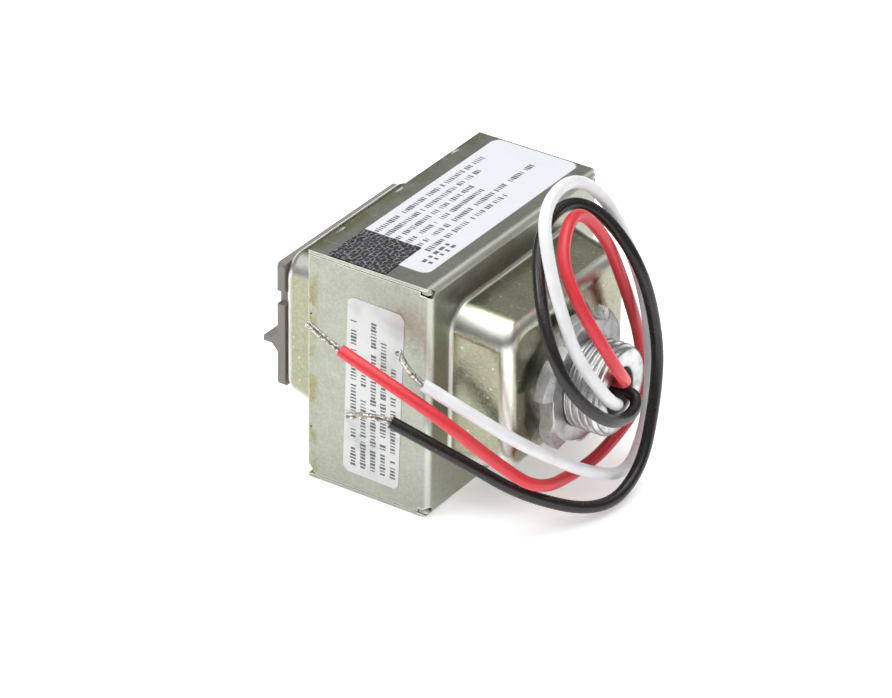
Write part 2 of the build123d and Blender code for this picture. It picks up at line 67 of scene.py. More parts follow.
# The leads' routes, from the coil through the hub to the cut end of the insulation, in metres.
ROUTES = {
    "white": [
        (-0.0106, -0.0022, -0.0032),
        (-0.0010, -0.0020, -0.0015),
        (0.0102, -0.0022, -0.0020),
        (0.0147, -0.0152, 0.0069),
        (0.0089, -0.0192, 0.0172),
        (0.0052, -0.0190, 0.0249),
        (0.0009, -0.0189, 0.0370),
        (-0.0050, -0.0128, 0.0464),
        (-0.0084, 0.0037, 0.0459),
        (-0.0071, 0.0146, 0.0381),
        (-0.0031, 0.0188, 0.0271),
        (0.0028, 0.0195, 0.0122),
        (0.0053, 0.0187, -0.0053),
        (0.0056, 0.0160, -0.0188),
        (0.0070, 0.0068, -0.0250),
        (0.0082, -0.0116, -0.0151),
        (0.0024, -0.0268, -0.0034),
        (-0.0058, -0.0345, 0.0050),
        (-0.0161, -0.0405, 0.0130),
    ],
    "black": [
        (-0.0106, 0.0026, -0.0020),
        (-0.0042, 0.0023, -0.0003),
        (0.0028, 0.0019, -0.0009),
        (0.0104, 0.0026, -0.0010),
        (0.0131, -0.0004, -0.0020),
        (0.0141, -0.0073, -0.0018),
        (0.0142, -0.0154, 0.0018),
        (0.0104, -0.0226, 0.0100),
        (0.0051, -0.0238, 0.0197),
        (-0.0010, -0.0191, 0.0287),
        (-0.0088, -0.0084, 0.0368),
        (-0.0106, 0.0061, 0.0389),
        (-0.0049, 0.0129, 0.0342),
        (0.0040, 0.0150, 0.0224),
        (0.0075, 0.0171, 0.0047),
        (0.0092, 0.0140, -0.0078),
        (0.0113, 0.0056, -0.0219),
        (0.0112, -0.0100, -0.0249),
        (0.0006, -0.0255, -0.0168),
        (-0.0099, -0.0338, -0.0073),
        (-0.0246, -0.0401, 0.0007),
    ],
    "red": [
        (-0.0106, -0.0005, -0.0002),
        (-0.0006, 0.0002, 0.0022),
        (0.0106, -0.0001, 0.0023),
        (0.0144, -0.0115, 0.0126),
        (0.0056, -0.0157, 0.0291),
        (-0.0009, -0.0118, 0.0371),
        (-0.0050, 0.0006, 0.0411),
        (-0.0026, 0.0098, 0.0307),
        (-0.0012, 0.0172, 0.0143),
        (-0.0008, 0.0243, -0.0027),
        (0.0020, 0.0208, -0.0144),
        (0.0034, 0.0038, -0.0179),
        (0.0032, -0.0075, -0.0182),
        (0.0045, -0.0256, -0.0138),
        (-0.0026, -0.0316, -0.0066),
        (-0.0111, -0.0413, 0.0067),
        (-0.0254, -0.0431, 0.0129),
        (-0.0359, -0.0424, 0.0156),
    ],
}

# Where each lead's stripped strands end.
STRAND_TIPS = {
    "white": (-0.0209, -0.0431, 0.0207),
    "black": (-0.0335, -0.0436, 0.0008),
    "red": (-0.0436, -0.0440, 0.0206),
}


def tone(red, green, blue):
    """A colour given in screen values from 0 to 255, as linear values."""
    def linear(value):
        share = value / 255
        return share / 12.92 if share <= 0.04045 else ((share + 0.055) / 1.055) ** 2.4

    return tuple(linear(value) for value in (red, green, blue))


def colour_property(name, description, red, green, blue):
    return bpy.props.FloatVectorProperty(
        name=name, description=description, subtype="COLOR", size=3,
        min=0.0, max=1.0, default=tone(red, green, blue),
    )


def length_property(name, description, millimetres):
    return bpy.props.FloatProperty(
        name=name, description=description, subtype="DISTANCE", unit="LENGTH",
        min=0.0, precision=5, default=millimetres * MM,
    )


def share_property(name, description, default):
    return bpy.props.FloatProperty(
        name=name, description=description, subtype="FACTOR", min=0.0, max=1.0, default=default
    )


def number_property(name, description, default, unit="NONE"):
    return bpy.props.FloatProperty(name=name, description=description, unit=unit, min=0.0, default=default)


def count_property(name, description, least, default):
    return bpy.props.IntProperty(name=name, description=description, min=least, default=default)


class SheetFinish(bpy.types.PropertyGroup):
    """Plated sheet of the case and the rear bell."""

    plating: colour_property("Plating", "Clean passivated zinc", 161, 164, 152)
    stain: colour_property("Stain", "Olive stain in the passivation", 142, 138, 96)
    shade: colour_property("Shade", "Dull grey clouds in the plating", 118, 118, 106)
    # Bright edge also colours the painted highlight on the bends and the domes' rounded edges, besides the
    # rubbed zinc.
    bright: colour_property("Bright edge", "Zinc rubbed bright on the edges", 236, 238, 230)
    wall_roughness: share_property("Wall roughness", "Roughness of the folded walls", 0.32)
    dome_roughness: share_property("Dome roughness", "Roughness of the drawn dome", 0.16)
    dome_depth: length_property("Dome depth", "Height of the dome over its flange", 14.2)
    bell_lip: length_property("Bell lip", "How far the bell's flange stands inside the walls", 1.2)
    stain_band: length_property("Stain band", "Width of the stained strip at the rear edge", 3.0)
    seam_close: length_property("Seam close", "How far the end walls' edges are pressed into the seams", 0.3)


class HubSizes(bpy.types.PropertyGroup):
    """Threaded conduit nipple and its lugged locknut."""

    metal: colour_property("Metal", "Die-cast zinc alloy", 205, 207, 206)
    shade: colour_property("Shade", "Dull patches in the casting", 150, 152, 152)
    # Painted glints: bright specks in the cast skin's pits that stand for the glints of light on it.
    skin_glint: colour_property("Sparkle", "Bright specks in the cast skin", 240, 242, 240)
    bright: colour_property("Bright edge", "Zinc rubbed bright on the edges", 238, 240, 240)
    pitch: length_property("Thread pitch", "Distance between the thread's turns", 1.81)
    depth: length_property("Thread depth", "Height of the thread from root to crest", 0.85)
    edge: length_property("Edge round", "Rounding of the locknut's cast edges", 0.2)
    skin_from: length_property("Skin from", "Radius outside which the cast skin is rough", 13.2)
    segments: count_property("Segments", "Divisions round the nipple", 24, 144)


class LeadFinish(bpy.types.PropertyGroup):
    """Insulated leads and their stripped ends."""

    diameter: length_property("Diameter", "Diameter over the insulation", 2.8)
    white: colour_property("White", "White insulation", 240, 240, 243)
    black: colour_property("Black", "Black insulation", 34, 30, 30)
    red: colour_property("Red", "Red insulation", 226, 56, 66)
    dust: colour_property("Dust", "Pale dust on the insulation", 200, 200, 200)
    tin: colour_property("Tin", "Bright tin on the strands", 222, 220, 214)
    # Painted shade: this darker colour stands for the shade in the hollows between the strands.
    hollow_shade: colour_property("Copper", "Darker hollows between the strands", 128, 121, 110)
    wire_radius: length_property("Wire radius", "Radius of one bare strand", 0.24)
    bundle_radius: length_property("Bundle radius", "Radius at which the strands lie", 0.48)
    wires: count_property("Strands", "Strands in a lead", 3, 7)
    turns: number_property("Turns", "Turns of the twist", 4.2)


class LabelPrint(bpy.types.PropertyGroup):
    """Labels and the plain bars printed on them."""

    paper: colour_property("Paper", "White film of the top label", 216, 218, 224)
    film: colour_property("Film", "Silvered film of the side label", 204, 206, 204)
    sticker: colour_property("Sticker", "Dark film of the small sticker", 40, 39, 42)
    sticker_tint: colour_property("Sticker tint", "Bluish patches on the small sticker", 62, 58, 80)
    sticker_gap: colour_property("Sticker gap", "Pale gaps in the sticker's pattern", 146, 145, 148)
    ink: colour_property("Ink", "Printed bars", 92, 92, 98)
    thin_ink: colour_property("Thin ink", "Paler patches in the printed bars", 112, 112, 120)
    ink_thickness: length_property("Ink thickness", "Thickness of a printed bar", 0.02)


class StageLight(bpy.types.PropertyGroup):
    """Floor, lights and camera."""

    floor: colour_property("Floor", "Pale studio floor", 250, 250, 250)
    key_power: number_property("Key power", "Softbox overhead", 6.4, unit="POWER")
    side_power: number_property("Side power", "Softbox at the left", 4.2, unit="POWER")
    floor_glow: number_property("Floor glow", "Light from the lit table under the floor", 0.4)
    horizon: number_property("Horizon", "Brightness of the room's walls", 0.2)
    ceiling: number_property("Ceiling", "Brightness of the room's ceiling", 1.4)
    lens: number_property("Lens", "Focal length in millimetres", 181.6, unit="CAMERA")


def fill(tree, socket, value):
    """Links a socket to another one, or sets its value."""
    if isinstance(value, bpy.types.NodeSocket):
        tree.links.new(value, socket)
    elif socket.type == "RGBA":
        socket.default_value = (*value[:3], 1.0)
    else:
        socket.default_value = value


def put(tree, kind, inputs=None, **settings):
    """Adds a node, sets its options, and fills its sockets with values or links."""
    made = tree.nodes.new(kind)
    for name, value in settings.items():
        setattr(made, name, value)
    for key, value in (inputs or {}).items():
        fill(tree, made.inputs[key], value)
    return made


def math(tree, operation, *values, clamp=False):
    """A math node's result."""
    made = put(tree, "ShaderNodeMath", dict(enumerate(values)), operation=operation, use_clamp=clamp)
    return made.outputs[0]


def times(tree, first, *others):
    """The product of some values."""
    for value in others:
        first = math(tree, "MULTIPLY", first, value)
    return first


def plus(tree, first, second):
    """The sum of two values."""
    return math(tree, "ADD", first, second)


def larger(tree, first, second):
    """The larger of two values."""
    return math(tree, "MAXIMUM", first, second)


def vectors(tree, operation, *values):
    """A vector math node's outputs."""
    return put(tree, "ShaderNodeVectorMath", dict(enumerate(values)), operation=operation).outputs


def scaled(tree, vector, factor):
    """A vector times a number."""
    return put(tree, "ShaderNodeVectorMath", {0: vector, "Scale": factor}, operation="SCALE").outputs[0]


def split(tree, vector):
    """A vector's three values."""
    return put(tree, "ShaderNodeSeparateXYZ", {0: vector}).outputs


def ramp(tree, value, low, high, start=0.0, end=1.0):
    """A value moved from one range to another, clamped."""
    made = put(tree, "ShaderNodeMapRange", {0: value, 1: low, 2: high, 3: start, 4: end})
    return made.outputs[0]


def noise(tree, place, scale, detail):
    """A noise texture's outputs."""
    return put(tree, "ShaderNodeTexNoise", {"Vector": place, "Scale": scale, "Detail": detail}).outputs


def blend_colours(tree, factor, first, second):
    """A mix of two colours."""
    made = put(tree, "ShaderNodeMix", data_type="RGBA")
    for index, value in ((0, factor), (6, first), (7, second)):
        fill(tree, made.inputs[index], value)
    return made.outputs[2]


def tint(tree, mask, share, under, over):
    """A colour laid over another where a mask says, with a share of its strength."""
    return blend_colours(tree, times(tree, mask, share), under, over)


def shaded(colour, share):
    """A colour made darker, or lighter where the share is over one."""
    return tuple(min(1.0, value * share) for value in colour)


def new_group(name, kind, inputs, outputs):
    """An empty node group with named sockets, its input node and its output node."""
    tree = bpy.data.node_groups.new(name, kind)
    for label, (socket_type, default) in inputs.items():
        socket = tree.interface.new_socket(label, in_out="INPUT", socket_type=socket_type)
        if default is not None:
            socket.default_value = default
    for label, socket_type in outputs.items():
        tree.interface.new_socket(label, in_out="OUTPUT", socket_type=socket_type)
    return tree, tree.nodes.new("NodeGroupInput").outputs, tree.nodes.new("NodeGroupOutput")


def close_group(tree, end, results):
    """Links the results to the group's outputs by name."""
    for label, socket in results.items():
        tree.links.new(socket, end.inputs[label])


def use_group(tree, name, inputs):
    """Places a shader node group in a material."""
    made = tree.nodes.new("ShaderNodeGroup")
    made.node_tree = bpy.data.node_groups[name]
    for label, value in inputs.items():
        fill(tree, made.inputs[label], value)
    return made.outputs


def make_patch_group():
    """Soft patches: stains, dull areas, dust."""
    tree, given, end = new_group(
        "soft_patches", "ShaderNodeTree",
        {"Place": (VECTOR, None), "Scale": (NUMBER, 60.0), "Low": (NUMBER, 0.42), "High": (NUMBER, 0.62)},
        {"Mask": NUMBER},
    )
    wide = put(tree, "ShaderNodeTexNoise", {
        "Vector": given["Place"], "Scale": given["Scale"], "Detail": 6.0, "Roughness": 0.62,
    })
    mask = put(tree, "ShaderNodeMapRange", {
        0: wide.outputs["Fac"], 1: given["Low"], 2: given["High"],
    }, interpolation_type="SMOOTHSTEP")
    close_group(tree, end, {"Mask": mask.outputs[0]})


def make_grain_group():
    """Fine grain of rolled, cast or moulded surfaces, with pits."""
    tree, given, end = new_group(
        "fine_grain", "ShaderNodeTree",
        {"Place": (VECTOR, None), "Scale": (NUMBER, 2200.0), "Pits": (NUMBER, 0.3)},
        {"Height": NUMBER, "Pits": NUMBER},
    )
    fine = put(tree, "ShaderNodeTexNoise", {
        "Vector": given["Place"], "Scale": given["Scale"], "Detail": 3.0, "Roughness": 0.7,
    })
    spacing = times(tree, given["Scale"], 0.31)
    spots = put(tree, "ShaderNodeTexVoronoi", {"Vector": given["Place"], "Scale": spacing})
    pits = ramp(tree, spots.outputs["Distance"], 0.16, 0.05)
    deep = times(tree, pits, given["Pits"])
    close_group(tree, end, {
        "Height": math(tree, "SUBTRACT", fine.outputs["Fac"], deep), "Pits": pits,
    })


def make_scuff_group():
    """Short scratches that run mostly one way."""
    tree, given, end = new_group(
        "scuffs", "ShaderNodeTree",
        {"Place": (VECTOR, None), "Turn": (VECTOR, None), "Scale": (NUMBER, 120.0)},
        {"Mask": NUMBER},
    )
    drawn_out = (1.0, 14.0, 14.0)
    turned = put(tree, "ShaderNodeMapping", {
        "Vector": given["Place"], "Rotation": given["Turn"], "Scale": drawn_out,
    })
    lines = noise(tree, turned.outputs[0], given["Scale"], 2.0)
    close_group(tree, end, {"Mask": ramp(tree, lines["Fac"], 0.66, 0.72)})


def make_wear_group():
    """Edges that handling has rubbed bright."""
    tree, given, end = new_group(
        "edge_wear", "ShaderNodeTree",
        {"Place": (VECTOR, None), "Reach": (NUMBER, 0.3 * MM), "Patchiness": (NUMBER, 0.5)},
        {"Mask": NUMBER},
    )
    softened = put(tree, "ShaderNodeBevel", {"Radius": given["Reach"]}, samples=4).outputs[0]
    true = put(tree, "ShaderNodeNewGeometry").outputs["Normal"]
    edge = ramp(tree, vectors(tree, "DOT_PRODUCT", softened, true)["Value"], 0.985, 0.86)
    broken = ramp(tree, noise(tree, given["Place"], 420.0, 4.0)["Fac"], 0.35, 0.65)
    kept = times(tree, broken, given["Patchiness"])
    whole = math(tree, "SUBTRACT", 1.0, given["Patchiness"])
    close_group(tree, end, {"Mask": times(tree, edge, plus(tree, whole, kept))})


def soft_patches(tree, place, scale, low, high):
    """Where soft patches lie."""
    return use_group(tree, "soft_patches", {"Place": place, "Scale": scale, "Low": low, "High": high})["Mask"]


def fine_grain(tree, place, scale, pits):
    """The grain's height and its pits."""
    return use_group(tree, "fine_grain", {"Place": place, "Scale": scale, "Pits": pits})


def scuff_marks(tree, place, turn, scale):
    """Where scratches run."""
    return use_group(tree, "scuffs", {"Place": place, "Turn": turn, "Scale": scale})["Mask"]


def edge_wear(tree, place, reach, patchiness):
    """Where the edges are rubbed."""
    return use_group(tree, "edge_wear", {"Place": place, "Reach": reach, "Patchiness": patchiness})["Mask"]


def start_material(name):
    """A new finish: its tree, shader and object coordinates."""
    material = bpy.data.materials.new(name + "_finish")
    material.use_nodes = True
    tree = material.node_tree
    place = put(tree, "ShaderNodeTexCoord").outputs["Object"]
    return tree, tree.nodes["Principled BSDF"], place


def finish_named(name):
    """A finish that has been made."""
    return bpy.data.materials[name + "_finish"]


def feed(tree, shader, **sockets):
    """Links or sets the shader's sockets; underscores stand for spaces."""
    for label, value in sockets.items():
        fill(tree, shader.inputs[label.replace("_", " ")], value)


def bump(tree, height, strength, distance, under=None):
    """A bump from a height, laid over another if one is given."""
    inputs = {"Height": height, "Strength": strength, "Distance": distance}
    if under is not None:
        inputs["Normal"] = under
    return put(tree, "ShaderNodeBump", inputs).outputs[0]


def face_turn(tree):
    """How squarely a face looks along X, and along any axis."""
    normal = put(tree, "ShaderNodeNewGeometry").outputs["Normal"]
    sides = split(tree, vectors(tree, "ABSOLUTE", normal)[0])
    return sides[0], larger(tree, larger(tree, sides[0], sides[1]), sides[2])


def rear_stains(tree, place, along, endwise, band):
    """Olive stains in a strip along the rear edge of the walls' outer faces."""
    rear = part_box("front_case")[0].x
    full_strength = 1.4 * MM
    inner = ramp(tree, along, rear + band, rear + full_strength)
    outer = ramp(tree, along, rear - 0.1 * MM, rear)
    on_walls = ramp(tree, endwise, 0.9, 0.3)
    stains = soft_patches(tree, place, scale=140.0, low=0.4, high=0.6)
    return times(tree, inner, outer, on_walls, stains)


def plated_sheet(finish):
    """Zinc plate, passivated olive in places and glossier where the domes were drawn; bends and rounded edges
    get a painted highlight, stronger on the domes.
    """
    tree, shader, place = start_material("plated_sheet")
    along = split(tree, place)[0]
    endwise, flatness = face_turn(tree)
    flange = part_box("front_case")[1].x - finish.dome_depth
    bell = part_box("rear_bell")[1].x - finish.bell_lip
    dome_root = 1.2 * MM
    front_dome = ramp(tree, along, flange - 0.2 * MM, flange + dome_root)
    rear_dome = ramp(tree, along, bell, bell - dome_root)
    drawn = larger(tree, front_dome, rear_dome)
    folds = ramp(tree, flatness, 0.975, 0.86)
    smudges = soft_patches(tree, place, scale=48.0, low=0.6, high=0.74)
    clouds = soft_patches(tree, place, scale=230.0, low=0.3, high=0.75)
    spots = soft_patches(tree, place, scale=1300.0, low=0.4, high=0.66)
    grain = fine_grain(tree, place, scale=3000.0, pits=0.5)
    specks = fine_grain(tree, place, scale=1500.0, pits=0.5)["Pits"]
    scuffs = scuff_marks(tree, place, turn=(0.4, 0.2, 0.9), scale=75.0)
    wear = edge_wear(tree, place, reach=0.45 * MM, patchiness=0.35)

    stains = rear_stains(tree, place, along, endwise, finish.stain_band)
    olive_share = larger(tree, times(tree, drawn, 0.5), times(tree, stains, 0.95))
    olive = blend_colours(tree, olive_share, finish.plating, finish.stain)
    smudged = tint(tree, smudges, 0.5, olive, finish.shade)
    clouded = tint(tree, clouds, 0.14, smudged, finish.shade)
    mottled = tint(tree, spots, 0.1, clouded, finish.bright)
    # Painted highlight: bends and rounded edges are lightened towards the bright colour, more on the drawn
    # domes, to stand for the light they catch.
    painted_bend_highlight = times(tree, folds, ramp(tree, drawn, 0.0, 1.0, 0.5, 0.85))
    # The bright share joins real edge wear, scuffs and the painted highlight on the bends.
    bright_share = larger(tree, larger(tree, wear, painted_bend_highlight), times(tree, scuffs, 0.12))
    brightened = blend_colours(tree, bright_share, mottled, finish.bright)
    pitted = tint(tree, grain["Pits"], 0.4, brightened, finish.shade)
    specked = tint(tree, times(tree, specks, drawn), 0.55, pitted, finish.bright)

    base_roughness = ramp(tree, drawn, 0.0, 1.0, finish.wall_roughness, finish.dome_roughness)
    varied = plus(tree, base_roughness, times(tree, clouds, 0.07))
    softer = plus(tree, varied, times(tree, ramp(tree, flatness, 0.995, 0.94), 0.14))
    roughness = math(tree, "ADD", softer, times(tree, scuffs, 0.08), clamp=True)

    waves = noise(tree, place, 80.0, 1.0)["Fac"]
    rolled = bump(tree, waves, 0.2, 1.0 * MM)
    dimpled = bump(tree, spots, 0.1, 0.08 * MM, rolled)
    surface = bump(tree, grain["Height"], 0.16, 0.05 * MM, dimpled)
    feed(tree, shader, Base_Color=specked, Metallic=1.0, Roughness=roughness, Normal=surface)


def zinc_casting(hub):
    """Die-cast zinc alloy: smooth turned faces, cast skin on the lugs with painted glints in its pits, bright
    edges.
    """
    tree, shader, place = start_material("zinc_casting")
    apart = split(tree, place)
    from_axis = put(tree, "ShaderNodeCombineXYZ", {1: apart[1], 2: apart[2]}).outputs[0]
    radius = vectors(tree, "LENGTH", from_axis)["Value"]
    outside = ramp(tree, radius, hub.skin_from, hub.skin_from + 0.4 * MM)
    skin = times(tree, outside, ramp(tree, apart[0], 0.0, -0.3 * MM))
    dull = soft_patches(tree, place, scale=240.0, low=0.4, high=0.7)
    grain = fine_grain(tree, place, scale=1900.0, pits=0.7)
    scuffs = scuff_marks(tree, place, turn=(0.3, 0.7, 0.2), scale=150.0)
    wear = edge_wear(tree, place, reach=0.3 * MM, patchiness=0.4)
    patched = tint(tree, dull, 0.7, hub.metal, hub.shade)
    # Painted glints: the skin's pits are lightened towards the glint colour.
    glinted = tint(tree, grain["Pits"], skin, patched, hub.skin_glint)
    bright_share = larger(tree, wear, times(tree, scuffs, 0.4))
    brightened = blend_colours(tree, bright_share, glinted, hub.bright)
    roughness = plus(tree, ramp(tree, skin, 0.0, 1.0, 0.28, 0.38), times(tree, dull, 0.16))
    relief = times(tree, grain["Height"], math(tree, "MULTIPLY_ADD", skin, 0.85, 0.12))
    surface = bump(tree, relief, 0.75, 0.28 * MM)
    feed(tree, shader, Base_Color=brightened, Metallic=1.0, Roughness=roughness, Normal=surface)


def insulation(name, colour, dust, roughness):
    """Extruded insulation with a faint uneven gloss."""
    tree, shader, place = start_material(name)
    uneven = soft_patches(tree, place, scale=150.0, low=0.35, high=0.75)
    grain = fine_grain(tree, place, scale=2600.0, pits=0.4)
    body = blend_colours(tree, uneven, colour, shaded(colour, 0.86))
    dusted = tint(tree, grain["Pits"], 0.12, body, dust)
    gloss = plus(tree, roughness, times(tree, uneven, 0.1))
    surface = bump(tree, grain["Height"], 0.08, 0.04 * MM)
    feed(tree, shader, Base_Color=dusted, Roughness=gloss, Normal=surface)


def tinned_strands(tin, hollow_shade):
    """Tinned copper, with painted shade in fine random patches that stands for the hollows between the
    strands.
    """
    tree, shader, place = start_material("tinned_strands")
    # Painted shade in fine patches, for the hollows between the strands.
    hollow_shade_mask = soft_patches(tree, place, scale=1500.0, low=0.4, high=0.62)
    colour = blend_colours(tree, hollow_shade_mask, tin, hollow_shade)
    roughness = plus(tree, 0.24, times(tree, hollow_shade_mask, 0.2))
    feed(tree, shader, Base_Color=colour, Metallic=1.0, Roughness=roughness)


def label_film(name, colour, metallic, roughness, smudge):
    """Printed film with faint smudges."""
    tree, shader, place = start_material(name)
    smudges = soft_patches(tree, place, scale=110.0, low=0.45, high=0.75)
    grain = fine_grain(tree, place, scale=3000.0, pits=0.2)
    body = tint(tree, smudges, smudge, colour, shaded(colour, 0.62))
    gloss = plus(tree, roughness, times(tree, smudges, 0.12))
    surface = bump(tree, grain["Height"], 0.05, 0.03 * MM)
    feed(tree, shader, Base_Color=body, Metallic=metallic, Roughness=gloss, Normal=surface)


def dark_sticker(labels):
    """A small dark sticker with a pattern of broken blocks and pale gaps."""
    tree, shader, place = start_material("dark_sticker")
    shift = scaled(tree, noise(tree, place, 420.0, 2.0)["Color"], 2.2 * MM)
    moved = vectors(tree, "ADD", place, shift)[0]
    turned = put(tree, "ShaderNodeMapping", {"Vector": moved, "Rotation": (0.0, 0.0, radians(90))})
    blocks = put(tree, "ShaderNodeTexBrick", {
        "Vector": turned.outputs[0], "Scale": 1.0, "Mortar Size": 0.16 * MM, "Mortar Smooth": 0.4,
        "Brick Width": 1.5 * MM, "Row Height": 1.05 * MM,
    })
    unbroken = ramp(tree, noise(tree, place, 900.0, 3.0)["Fac"], 0.38, 0.56)
    pale = times(tree, blocks.outputs["Fac"], unbroken, 0.75)
    bluish = soft_patches(tree, place, scale=320.0, low=0.46, high=0.62)
    tinted = tint(tree, bluish, 0.5, labels.sticker, labels.sticker_tint)
    body = blend_colours(tree, pale, tinted, labels.sticker_gap)
    feed(tree, shader, Base_Color=body, Roughness=plus(tree, 0.3, times(tree, pale, 0.2)))


def plain_ink(labels):
    """Printed ink, a little uneven."""
    tree, shader, place = start_material("plain_ink")
    thin = soft_patches(tree, place, scale=900.0, low=0.4, high=0.75)
    feed(tree, shader, Base_Color=blend_colours(tree, thin, labels.ink, labels.thin_ink), Roughness=0.5)


def moulded_plastic(name, colour, roughness):
    """Moulded plastic with a fine grain and faint flow marks."""
    tree, shader, place = start_material(name)
    flow = soft_patches(tree, place, scale=130.0, low=0.35, high=0.75)
    grain = fine_grain(tree, place, scale=1900.0, pits=0.3)
    body = tint(tree, flow, 0.5, colour, shaded(colour, 0.78))
    gloss = plus(tree, roughness, times(tree, grain["Pits"], 0.12))
    feed(tree, shader, Base_Color=body, Roughness=gloss, Normal=bump(tree, grain["Height"], 0.22, 0.06 * MM))


def plain_metal(name, colour, roughness):
    """Plated hardware with dull patches and rubbed edges."""
    tree, shader, place = start_material(name)
    dull = soft_patches(tree, place, scale=420.0, low=0.4, high=0.7)
    wear = edge_wear(tree, place, reach=0.2 * MM, patchiness=0.4)
    patched = tint(tree, dull, 0.6, colour, shaded(colour, 0.7))
    brightened = blend_colours(tree, wear, patched, shaded(colour, 1.2))
    gloss = plus(tree, roughness, times(tree, dull, 0.15))
    feed(tree, shader, Base_Color=brightened, Metallic=1.0, Roughness=gloss)


def banded_metal(name, colour, groove, axis, pitch):
    """Laminations or turns of wire: fine bands across one axis."""
    tree, shader, place = start_material(name)
    phase = times(tree, split(tree, place)[axis], tau / pitch)
    band = math(tree, "MULTIPLY_ADD", math(tree, "SINE", phase), 0.5, 0.5)
    dull = soft_patches(tree, place, scale=160.0, low=0.35, high=0.75)
    ridge = tint(tree, dull, 0.5, colour, groove)
    feed(
        tree, shader, Base_Color=blend_colours(tree, band, groove, ridge), Metallic=1.0,
        Roughness=plus(tree, 0.38, times(tree, dull, 0.15)), Normal=bump(tree, band, 0.4, pitch / 4),
    )


def link_piece(name, mesh, material):
    """A new object at the origin, with one material."""
    mesh.materials.clear()
    mesh.materials.append(material)
    piece = bpy.data.objects.new(name, mesh)
    bpy.context.scene.collection.objects.link(piece)
    return piece


def settle(piece, slot, *nodes):
    """The piece rides on the part and stands for its nodes; the slot is not used."""
    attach(piece, BODY)
    if nodes:
        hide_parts(*nodes)
    return piece


def dress_node(name, node, slot):
    """A merged, smoothly shaded copy of one solid, in its slot's finish."""
    mesh = NODES[node].data.copy()
    work = bmesh.new()
    work.from_mesh(mesh)
    bmesh.ops.remove_doubles(work, verts=work.verts, dist=MERGE)
    work.to_mesh(mesh)
    work.free()
    mesh.shade_smooth()
    mesh.set_sharp_from_angle(angle=radians(30))
    piece = link_piece(name, mesh, finish_named(slot))
    even = piece.modifiers.new("even_normals", "WEIGHTED_NORMAL")
    even.keep_sharp = True
    return settle(piece, slot, node)


def round_edges(piece, width, angle):
    """Smooth shading with rounded edges where the surface turns by more than an angle."""
    piece.data.shade_smooth()
    rounded = piece.modifiers.new("rounded_edges", "BEVEL")
    rounded.width = width
    rounded.segments = 2
    rounded.limit_method = "ANGLE"
    rounded.angle_limit = radians(angle)
    rounded.harden_normals = True


def bake_tree(piece):
    """The evaluated result of a piece's node tree as a plain mesh."""
    return bpy.data.meshes.new_from_object(piece.evaluated_get(bpy.context.evaluated_depsgraph_get()))


def run_tree(name, data, tree, values, material):
    """Runs a geometry node tree on some data and returns a plain piece."""
    source = bpy.data.objects.new(name + "_source", data)
    bpy.context.scene.collection.objects.link(source)
    modifier = source.modifiers.new("tree", "NODES")
    modifier.node_group = tree
    identifiers = {
        item.name: item.identifier
        for item in tree.interface.items_tree
        if item.item_type == "SOCKET" and item.in_out == "INPUT"
    }
    for label, value in {**values, "Material": material}.items():
        modifier[identifiers[label]] = value
    mesh = bake_tree(source)
    source.modifiers.remove(modifier)
    bpy.data.objects.remove(source)
    mesh.name = name
    return link_piece(name, mesh, material)


def shape_group(name, inputs):
    """A geometry node group that takes a shape, some sizes and a material."""
    sockets = {"Geometry": (SHAPE, None), **inputs, "Material": (FINISH, None)}
    return new_group(name, "GeometryNodeTree", sockets, {"Geometry": SHAPE})


def close_shape_group(tree, given, end, geometry):
    """Closes a geometry tree with Realize Instances and Set Material."""
    real = put(tree, "GeometryNodeRealizeInstances", {"Geometry": geometry}).outputs[0]
    dressed = put(tree, "GeometryNodeSetMaterial", {"Geometry": real, "Material": given["Material"]})
    close_group(tree, end, {"Geometry": dressed.outputs[0]})


def draw_number(tree, seed, low, high, key=None):
    """A random number for each element, or for each key."""
    inputs = {"Seed": seed, 2: low, 3: high}
    if key is not None:
        inputs["ID"] = key
    return put(tree, "FunctionNodeRandomValue", inputs, data_type="FLOAT").outputs[1]


def twisted_wires_tree():
    """Bare strands twisted round a path, a little frayed at the tip."""
    tree, given, end = shape_group("twisted_wires", {
        "Wires": (COUNT, 7), "Wire Radius": (NUMBER, 0.2 * MM), "Bundle Radius": (NUMBER, 0.5 * MM),
        "Turns": (NUMBER, 3.0), "Fray": (NUMBER, 0.2), "Seed": (COUNT, 1),
    })
    even = put(tree, "GeometryNodeResampleCurve", {"Curve": given["Geometry"], "Count": 70})
    many = put(tree, "GeometryNodeDuplicateElements", {
        "Geometry": even.outputs[0], "Amount": given["Wires"],
    }, domain="SPLINE")
    wire = many.outputs["Duplicate Index"]
    along = put(tree, "GeometryNodeSplineParameter").outputs["Factor"]
    share = math(tree, "DIVIDE", wire, given["Wires"])
    angle = times(tree, math(tree, "MULTIPLY_ADD", along, given["Turns"], share), tau)
    normal = put(tree, "GeometryNodeInputNormal").outputs[0]
    tangent = put(tree, "GeometryNodeInputTangent").outputs[0]
    across = vectors(tree, "CROSS_PRODUCT", tangent, normal)[0]
    radial = vectors(
        tree, "ADD", scaled(tree, normal, math(tree, "COSINE", angle)),
        scaled(tree, across, math(tree, "SINE", angle)),
    )[0]
    near_tip = math(tree, "POWER", along, 6.0)
    frayed = times(tree, near_tip, given["Fray"], draw_number(tree, given["Seed"], 0.3, 1.0, wire))
    reach = times(tree, given["Bundle Radius"], plus(tree, frayed, 1.0))
    laid = put(tree, "GeometryNodeSetPosition", {
        "Geometry": many.outputs[0], "Offset": scaled(tree, radial, reach),
    })
    section = put(tree, "GeometryNodeCurvePrimitiveCircle", {"Resolution": 8, "Radius": given["Wire Radius"]})
    wires = put(tree, "GeometryNodeCurveToMesh", {
        "Curve": laid.outputs[0], "Profile Curve": section.outputs[0], "Fill Caps": True,
    })
    smooth = put(tree, "GeometryNodeSetShadeSmooth", {"Geometry": wires.outputs[0]})
    close_shape_group(tree, given, end, smooth.outputs[0])
    return tree


